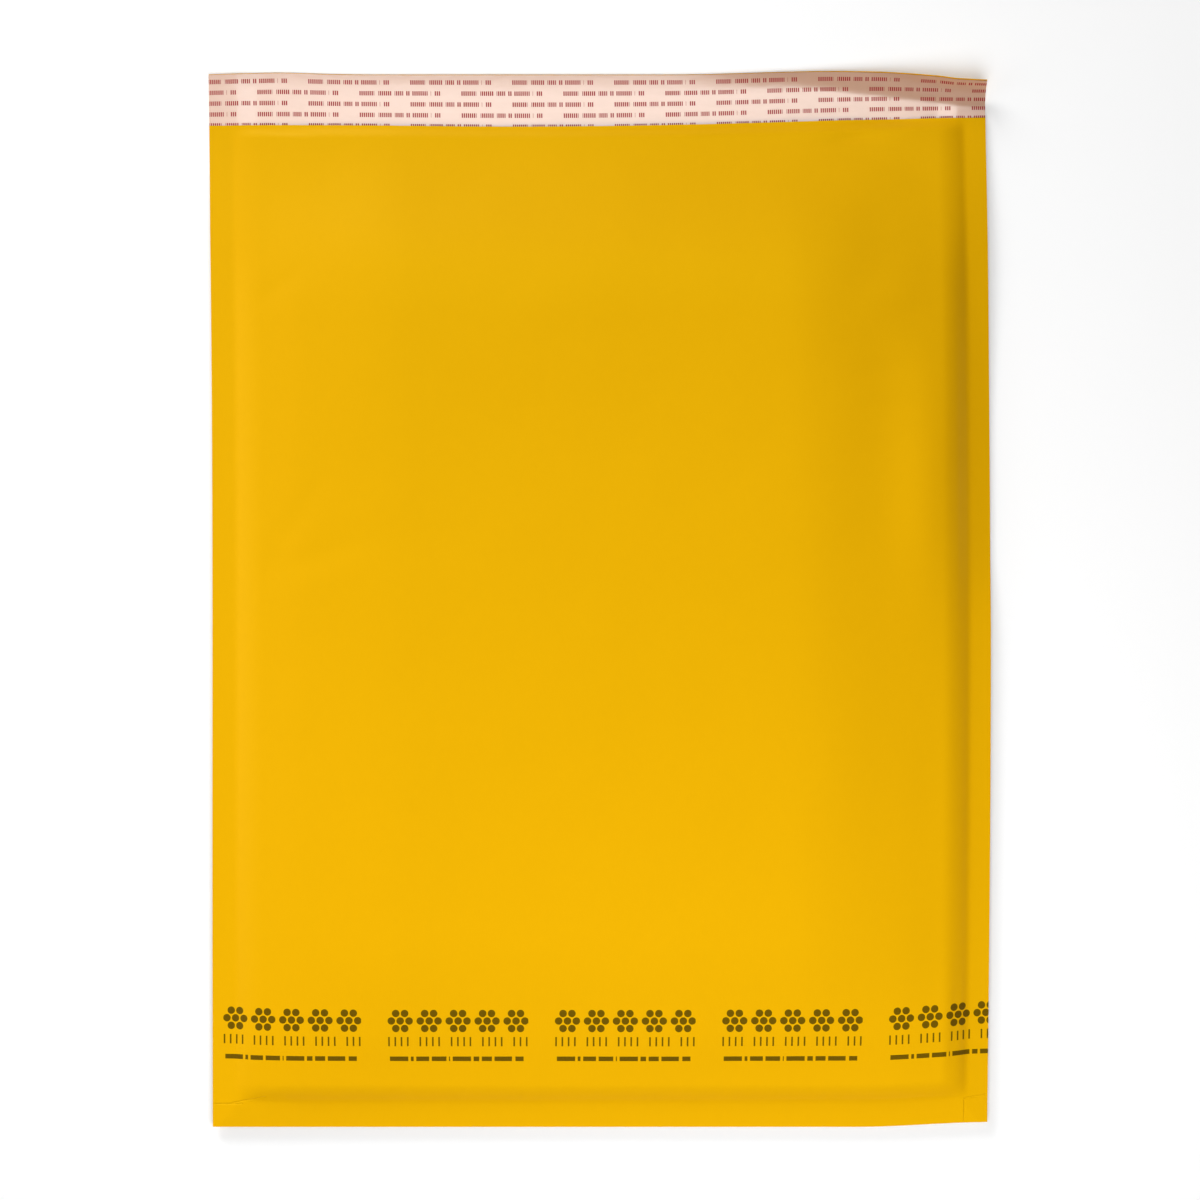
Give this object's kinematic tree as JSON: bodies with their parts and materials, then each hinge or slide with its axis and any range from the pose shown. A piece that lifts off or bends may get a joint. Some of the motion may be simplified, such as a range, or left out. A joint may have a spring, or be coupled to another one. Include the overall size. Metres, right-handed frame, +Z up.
{
  "type": "padded envelope",
  "caption": "Kraft padded mailing envelope lying flat, sealed on both sides and the bottom, bubble lined, with an open mouth and a sealing lip under a release liner.",
  "frame": {"origin": "on the resting surface under the centre of the bounding box", "axes": "+X to the right of the front, +Y along the envelope from the sealed bottom towards the mouth and lip, +Z up out of the front, the envelope lying on its back"},
  "size_m": [0.3654, 0.4914, 0.0164],
  "materials": {
    "kraft_paper": "golden-yellow kraft paper, matt to soft sheen, fine fibres, printed band near the bottom of the front",
    "bubble_film": "clear, slightly milky polyethylene bubble film",
    "hot_melt": "pale amber pressure-sensitive hot-melt adhesive, hidden under the liner",
    "liner_paper": "smooth siliconised paper, warm pinkish white with rows of small red marks"
  },
  "bodies": {
    "root": {"back_sheet": "kraft_paper", "front_sheet": "kraft_paper", "back_bubble_lining": "bubble_film", "front_bubble_lining": "bubble_film", "adhesive_strip": "hot_melt", "release_liner": "liner_paper"}
  },
  "joints": []
}
